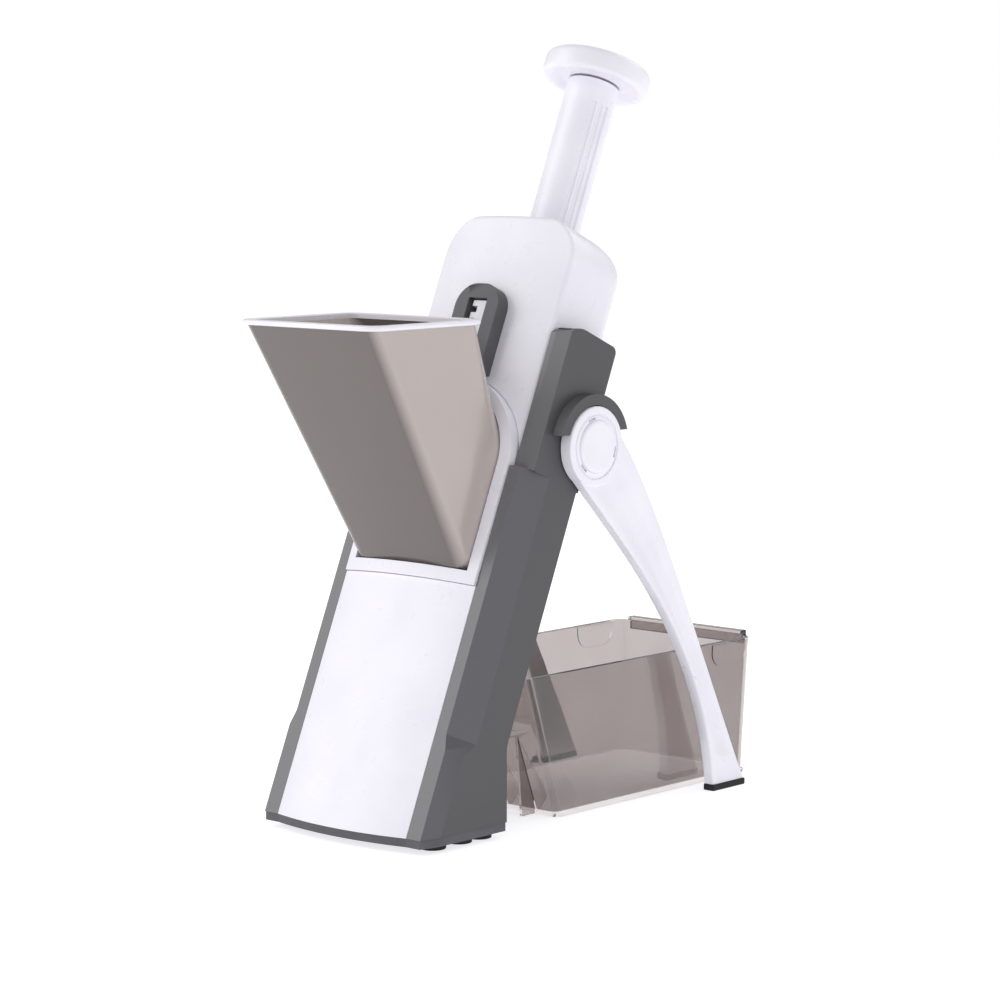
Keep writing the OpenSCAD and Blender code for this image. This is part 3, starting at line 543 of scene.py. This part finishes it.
def leg_arm():
    """Arm with a dished outer face, a raised rib along its back edge and a cross rib above the foot."""
    face = LEG_X1 - 0.9
    shares = [0, 0.012, 0.035, 0.07, 0.12, 0.18, 0.26, 0.34, 0.42, 0.5, 0.58, 0.66, 0.73, 0.79, 0.84, 0.88,
              0.92, 0.96, 0.985, 1]
    rings = []
    for i in range(73):
        t = i / 72
        front, back = cubic(LEG_FRONT, t), cubic(LEG_BACK, t)
        width = math.dist(front, back)
        fade = smooth(0.02, 0.12, t) * (1 - smooth(0.9, 0.945, t))
        foot_dip = 0.5 * smooth(0.945, 0.955, t) * (1 - smooth(0.985, 0.995, t))
        ring = []
        for k in shares:
            rounding = 0.8 * (1 - min(1.0, min(k, 1 - k) * width / 0.9)) ** 2
            dish = 2.1 * fade * smooth(0.03, 0.4, k) * (1 - smooth(0.66, 0.86, k))
            x = face - rounding - dish - foot_dip * smooth(0.05, 0.12, k) * (1 - smooth(0.86, 0.93, k))
            ring.append(about_pivot(x, *[a + (b - a) * k for a, b in zip(front, back)]))
        for k, x in ((1, LEG_X0 + 0.6), (0.98, LEG_X0), (0.02, LEG_X0), (0, LEG_X0 + 0.6)):
            ring.append(about_pivot(x, *[a + (b - a) * k for a, b in zip(front, back)]))
        rings.append(ring)
    return loft("arm", rings)


def leg_hub():
    """Disc with a ring groove, a seat for its cap and a blind bore for the hinge pin."""
    groove, seat, bore = 18.9, 15.05, 6.05
    profile = [(0, LEG_X1 - 2.8), (bore, LEG_X1 - 2.8), (bore, LEG_X0)]
    profile += [(HUB_R - 0.5, LEG_X0), (HUB_R, LEG_X0 + 0.5)]
    profile += arc(HUB_R - 1.1, LEG_X1 - 1.1, 1.1, 0, 90, 6)
    profile += [(groove + 0.15, LEG_X1), (groove, LEG_X1 - 0.2), (groove - 0.15, LEG_X1 - 0.9)]
    profile += [(groove - 1.0, LEG_X1 - 0.9), (groove - 1.2, LEG_X1 - 0.3), (groove - 1.5, LEG_X1 - 0.1)]
    profile += [(seat + 0.3, LEG_X1 - 0.1), (seat, LEG_X1 - 0.4), (seat, LEG_X1 - 1.5), (0, LEG_X1 - 1.5)]
    return lathe("hub", profile, lambda y, z, h: about_pivot(h, y, z), 128)


def hub_slots():
    """Three short arc slots between the cap and the groove."""
    meshes = []
    for middle in (105, 225, 345):
        low, high = middle - 11, middle + 11
        outline = arc(0, 0, 17.1, low, high, 10) + arc(0, 0, 15.6, high, low, 10)
        meshes.append(prism("slot", outline, lambda y, z, h: about_pivot(h, y, z), LEG_X1 - 1.9, LEG_X1 + 2))
    return meshes


def hub_cap_mesh():
    """Round cap with a soft edge, seated 1.5 mm deep in the hub."""
    seat, top, bottom = 15.0, LEG_X1 + 1.4, LEG_X1 - 1.5
    profile = [(0, top), (seat - 3.0, top - 0.02)] + arc(seat - 1.5, top - 1.5, 1.5, 90, 0, 7)
    return lathe("cap", profile + [(seat, bottom), (0, bottom)], lambda y, z, h: about_pivot(h, y, z), 128)


def mirrored(mesh):
    mesh = mesh.copy()
    mesh.transform(Matrix.Scale(-1, 4, Vector((1, 0, 0))))
    return tidied(mesh)


def legs():
    arm = combined(leg_arm(), [leg_hub()], "UNION")
    arm = combined(arm, hub_slots(), "DIFFERENCE")
    cap = hub_cap_mesh()
    piece("right_leg_moulded", arm, "right_leg")
    piece("left_leg_moulded", mirrored(arm), "left_leg")
    piece("right_hub_cap_moulded", cap, "right_hub_cap")
    piece("left_hub_cap_moulded", mirrored(cap), "left_hub_cap")
    for side in ("right", "left"):
        soften(side + "_leg_shoe", 0.7)


# ---- Hopper ----

RIM_HALF, RIM_FRONT, RIM_BACK, RIM_Z, RIM_T, RIM_W = 54.0, -27.5, 66.0, 292.3, 3.0, 4.0
HOPPER_WALL = 2.0
NECK_HALF, NECK_V0 = 42.8, 154.2


def corner_ring(half, low, high, low_r, high_r, place):
    """Rounded outline with its low corners and high corners rounded by different radii, 14 steps a corner."""
    corners = [(half - low_r, low + low_r, low_r, -90), (half - high_r, high - high_r, high_r, 0),
               (high_r - half, high - high_r, high_r, 90), (low_r - half, low + low_r, low_r, 180)]
    points = []
    for cx, cy, r, start in corners:
        points += arc(cx, cy, r, start, start + 90, 14)
    return [place(a, b) for a, b in points]


def blended(a, b, share):
    return [p.lerp(q, share) for p, q in zip(a, b)]


def arch_ring(inset, depth):
    """The hopper's outline at the throat, an arch with rounded lower corners. depth gives d at x."""
    half, corner = NECK_HALF - inset, 8 - inset
    low = NECK_V0 + inset
    points = arc(half - corner, low + corner, corner, -90, 0, 14)
    points += arc(0, ARCH_V, half, 0, 90, 14) + arc(0, ARCH_V, half, 90, 180, 14)
    points += arc(corner - half, low + corner, corner, 180, 270, 14)
    return [lean(x, depth(x), v) for x, v in points]


def hopper_funnel():
    """Funnel whose walls run straight from the rim to the throat's arch."""
    def rings(inset):
        tuck = RIM_W - 0.5 + inset
        top = corner_ring(RIM_HALF - tuck, RIM_FRONT + tuck, RIM_BACK - tuck, 7 - inset, 9 - inset,
                          lambda x, y: level(x, y, RIM_Z - RIM_T))
        foot = arch_ring(inset, lambda x: convex(x) - 8.2)
        return [blended(top, foot, i / 12) for i in range(13)]

    inner = rings(HOPPER_WALL)[::-1]
    piece("hopper_funnel_moulded", loft("funnel", rings(0) + inner, closed=True), "hopper_funnel")


def hopper_rim():
    """Flat white rim with a rolled outer edge."""
    def ring(inset, z):
        return corner_ring(RIM_HALF - inset, RIM_FRONT + inset, RIM_BACK - inset, 12 - inset, 13 - inset,
                           lambda x, y: level(x, y, z))

    low, high = RIM_Z - RIM_T, RIM_Z
    inner = RIM_W - 0.5 + HOPPER_WALL
    rings = [ring(1.2, low), ring(0.3, low + 0.4), ring(0, low + 1.2), ring(0, high - 1.2)]
    rings += [ring(0.35, high - 0.35), ring(1.2, high)]
    rings += [ring(inner - 0.5, high), ring(inner, high - 0.5), ring(inner, low)]
    piece("hopper_rim_moulded", loft("rim", rings, closed=True), "hopper_rim")


def hopper_neck():
    """Sleeve that the hopper slides into the throat, its inner end rounded off."""
    def front(x):
        return convex(x) - 8.15

    end = 17
    rings = [arch_ring(0, front), arch_ring(0, lambda x: end - 0.8), arch_ring(0.6, lambda x: end)]
    rings += [arch_ring(HOPPER_WALL, lambda x: end), arch_ring(HOPPER_WALL, front)]
    piece("hopper_neck_moulded", loft("neck", rings, closed=True), "hopper_neck")


# ---- Catch bin ----

BIN_HALF, BIN_TAPER, BIN_H, BIN_WALL = 54.0, 4.0, 86.0, 2.0
BIN_FRONT, BIN_BACK, BIN_RAKE = 97.0, 311.0, 32.0


def bin_ring(z, inset, grow=0.0):
    """Outline of the bin at height z."""
    share = z / BIN_H
    half = BIN_HALF - BIN_TAPER * (1 - share) - inset + grow
    front = BIN_FRONT + BIN_RAKE * (1 - share) + inset - grow
    back = BIN_BACK - 2 * (1 - share) - inset + grow
    return corner_ring(half, front, back, 5 - 0.7 * inset, 9 - inset, lambda x, y: level(x, y, z))


def catch_bin():
    """Thin clear bin on a stepped base rim, with thumb pads at the sides and fins on its sloping front."""
    heights = [3.4] + [BIN_H * i / 8 for i in range(1, 8)]
    rings = [bin_ring(0, 0, 0.2), bin_ring(0.4, 0, 1.2), bin_ring(2.6, 0, 1.2), bin_ring(3.0, 0, 0.8)]
    rings += [bin_ring(3.2, 0)]
    rings += [bin_ring(z, 0) for z in heights] + [bin_ring(BIN_H - 0.5, 0), bin_ring(BIN_H, 0.5)]
    rings += [bin_ring(BIN_H, BIN_WALL - 0.5), bin_ring(BIN_H - 0.5, BIN_WALL)]
    rings += [bin_ring(z, BIN_WALL) for z in heights[::-1]] + [bin_ring(3.0, BIN_WALL + 0.6)]
    shell = loft("bin", rings)
    parts = []
    foot = BIN_HALF - BIN_TAPER
    pad = [(269, 84.5), (269, 80)] + arc(278, 80, 9, 180, 270, 8) + arc(293, 80, 9, 270, 360, 8) + [(302, 84.5)]
    for side in (-1, 1):
        parts.append(prism("pad", pad, lambda y, z, x, s=side: level(s * (x + BIN_TAPER * z / BIN_H), y, z),
                           foot - 1.0, foot + 0.6))
    low_y, high_y = BIN_FRONT + BIN_RAKE, BIN_FRONT + BIN_RAKE * 0.42
    fin = [(low_y + 1, 1), (low_y - 14, 1), (high_y, 52), (high_y + 1, 52)]
    for x in (-34, -12, 12, 34):
        parts.append(prism("fin", fin, lambda y, z, off, m=x: level(m + off, y, z), -0.9, 0.9))
    piece("catch_bin_moulded", combined(shell, parts, "UNION"), "catch_bin")


# ---- Springs, screws and dials ----

def return_springs():
    """Two round-wire helices round the guide rods."""
    turns, steps, sides, mean_r, wire_r = 14, 20, 8, 4.3, 0.5
    low, high = 104.6, 299.4
    points, faces = [], []
    for side in (-1, 1):
        start = len(points)
        count = turns * steps + 1
        for i in range(count):
            a = 2 * math.pi * i / steps
            for j in range(sides):
                b = 2 * math.pi * j / sides
                r = mean_r + wire_r * math.cos(b)
                points.append(lean(side * 38.5 + r * math.cos(a), TUBE_D + r * math.sin(a),
                                   low + (high - low) * i / (count - 1) + wire_r * math.sin(b)))
        for i in range(count - 1):
            a, b = start + i * sides, start + (i + 1) * sides
            faces += [(a + j, a + (j + 1) % sides, b + (j + 1) % sides, b + j) for j in range(sides)]
        last = start + (count - 1) * sides
        faces += [tuple(range(start, start + sides)), tuple(range(last, last + sides))]
    piece("return_springs_wound", mesh_of("springs", points, faces), "return_springs")


def cover_screws():
    """Cross-head screws set at each corner and half-way up the rear cover, by geometry nodes."""
    tree = bpy.data.node_groups.new("screw_row", "GeometryNodeTree")
    tree.interface.new_socket("Geometry", in_out="OUTPUT", socket_type="NodeSocketGeometry")
    tree.interface.new_socket("Geometry", in_out="INPUT", socket_type="NodeSocketGeometry")
    sizes = {"Head radius": 3.0 * MM, "Head height": 2.0 * MM, "Cross width": 0.9 * MM,
             "Shank radius": 1.6 * MM, "Shank length": 12.0 * MM}
    for name in sizes:
        tree.interface.new_socket(name, in_out="INPUT", socket_type="NodeSocketFloat")
    entry = add(tree, "NodeGroupInput")
    head = add(tree, "GeometryNodeMeshCylinder", inputs={"Vertices": 40},
               links={"Radius": entry.outputs["Head radius"], "Depth": entry.outputs["Head height"]})
    raised = add(tree, "GeometryNodeTransform", inputs={"Translation": (0, 0, 1.0 * MM)},
                 links={"Geometry": head.outputs["Mesh"]})
    shank = add(tree, "GeometryNodeMeshCylinder", inputs={"Vertices": 20},
                links={"Radius": entry.outputs["Shank radius"], "Depth": entry.outputs["Shank length"]})
    sunk = add(tree, "GeometryNodeTransform", inputs={"Translation": (0, 0, -6.0 * MM)},
               links={"Geometry": shank.outputs["Mesh"]})
    cuts = []
    for turned in (0, math.pi / 2):
        size = add(tree, "ShaderNodeCombineXYZ", inputs={"X": 4.2 * MM, "Z": 1.8 * MM},
                   links={"Y": entry.outputs["Cross width"]})
        bar = add(tree, "GeometryNodeMeshCube", links={"Size": size.outputs["Vector"]})
        where = {"Translation": (0, 0, 2.0 * MM), "Rotation": (0, 0, turned)}
        cuts.append(add(tree, "GeometryNodeTransform", inputs=where,
                        links={"Geometry": bar.outputs["Mesh"]}).outputs["Geometry"])
    cut = add(tree, "GeometryNodeMeshBoolean", {"operation": "DIFFERENCE"},
              links={"Mesh 1": raised.outputs["Geometry"]})
    for bar in cuts:
        tree.links.new(bar, cut.inputs["Mesh 2"])
    both = add(tree, "GeometryNodeJoinGeometry")
    for part in (cut.outputs["Mesh"], sunk.outputs["Geometry"]):
        tree.links.new(part, both.inputs["Geometry"])
    turn = (math.pi / 2 - LEAN, 0, math.pi)
    placed = add(tree, "GeometryNodeInstanceOnPoints", inputs={"Rotation": turn},
                 links={"Points": entry.outputs["Geometry"], "Instance": both.outputs["Geometry"]})
    real = add(tree, "GeometryNodeRealizeInstances", links={"Geometry": placed.outputs["Instances"]})
    finish = add(tree, "GeometryNodeSetMaterial", inputs={"Material": MATERIALS["zinc_steel"]},
                 links={"Geometry": real.outputs["Geometry"]})
    add(tree, "NodeGroupOutput", links={"Geometry": finish.outputs["Geometry"]})
    from_edge, rows = 8.5, (165, 225, 288)
    points = [lean(side * (HEAD_HALF - from_edge), HEAD_BACK + 0.02, v) for side in (-1, 1) for v in rows]
    mesh = bpy.data.meshes.new("points")
    mesh.from_pydata([tuple(p) for p in points], [], [])
    obj = loose("screws", mesh)
    modifier = obj.modifiers.new("screws", "NODES")
    modifier.node_group = tree
    for item in tree.interface.items_tree:
        if item.in_out == "INPUT" and item.name in sizes:
            modifier[item.identifier] = sizes[item.name]
    piece("cover_screws_turned", result_of(obj), "cover_screws")


# ---- Everything together ----

head_shell()
rear_cover()
push_knob()
plunger_tube()
legs()
hopper_funnel()
hopper_rim()
hopper_neck()
catch_bin()
return_springs()
cover_screws()
EDGE_WIDTHS = {"front_panel": 0.5, "throat_frame": 1.1, "right_rail": 0.9, "left_rail": 0.9,
               "lock_housing": 0.8, "lock_slider": 0.25, "base_plate": 0.3, "foot_pads": 0.5,
               "bin_handle": 0.5, "thickness_dial": 0.3, "strip_dial": 0.3, "outlet_chute": 0.35,
               "lower_back": 0.4, "blade_carriage": 0.4}
for node, width in EDGE_WIDTHS.items():
    soften(node, width)
for name, obj in NODES.items():
    if not obj.hide_render:
        obj.data.materials.clear()
        obj.data.materials.append(MATERIALS[SLOT_OF[name]])


# ---- Floor, light and camera ----

def area_light(name, place, aim, size, power, colour="#ffffff"):
    light = bpy.data.lights.new(name, "AREA")
    light.shape, light.size, light.size_y, light.energy = "RECTANGLE", size[0], size[1], power
    light.color = linear(colour)[:3]
    obj = bpy.data.objects.new(name, light)
    obj.location = place
    obj.rotation_euler = (Vector(aim) - Vector(place)).to_track_quat("-Z", "Y").to_euler()
    bpy.context.scene.collection.objects.link(obj)


def studio():
    """White paper that glows a little in a white room, with a soft key, a fill and a back light."""
    bpy.context.scene.view_settings.view_transform = "Standard"
    world = bpy.data.worlds.new("studio")
    bpy.context.scene.world = world
    world.use_nodes = True
    tree = world.node_tree
    room = tree.nodes["Background"]
    room.inputs["Color"].default_value = linear("#ffffff")
    seen = add(tree, "ShaderNodeLightPath").outputs["Is Camera Ray"]
    strength = add(tree, "ShaderNodeMapRange", inputs={"To Min": 0.6, "To Max": 1.0}, links={"Value": seen})
    tree.links.new(strength.outputs["Result"], room.inputs["Strength"])
    reach = 30.0
    corners = [(-reach, -reach, 0), (reach, -reach, 0), (reach, reach, 0), (-reach, reach, 0)]
    floor_mesh = bpy.data.meshes.new("floor")
    floor_mesh.from_pydata(corners, [], [(0, 1, 2, 3)])
    floor = bpy.data.objects.new("floor", floor_mesh)
    bpy.context.scene.collection.objects.link(floor)
    material, tree, shader, place = new_material("matt_white_paper", Roughness=0.9)
    two_tones(tree, shader, grain(tree, place, 0.002), "#c8c8c9", "#cacacb")
    shader.inputs["Specular IOR Level"].default_value = 0.0
    shader.inputs["Emission Color"].default_value = linear("#fcfcff")
    shader.inputs["Emission Strength"].default_value = 0.74
    floor_mesh.materials.append(material)
    middle = (0, 0, 0.2)
    area_light("key", (-1.71, -1.54, 1.4), middle, (1.9, 1.9), 22)
    area_light("fill", (1.9, -0.4, 0.8), middle, (1.0, 1.6), 3.5)
    area_light("back", (0.3, 1.8, 1.7), middle, (1.6, 1.2), 10)


def camera():
    """Stands 41 degrees to the right of the front, a little above the slicer's middle."""
    azimuth, elevation, distance = math.radians(41.45), math.radians(6.56), 1.9056
    aim = Vector((0.0045, -0.0138, 0.182))
    flat = math.cos(elevation)
    away = Vector((math.sin(azimuth) * flat, -math.cos(azimuth) * flat, math.sin(elevation)))
    data = bpy.data.cameras.new("camera")
    data.lens, data.sensor_width = 117.65, 36.0
    data.clip_start, data.clip_end = 0.05, 50.0
    obj = bpy.data.objects.new("camera", data)
    obj.location = aim + distance * away
    obj.rotation_euler = (-away).to_track_quat("-Z", "Y").to_euler()
    bpy.context.scene.collection.objects.link(obj)
    bpy.context.scene.camera = obj


studio()
camera()
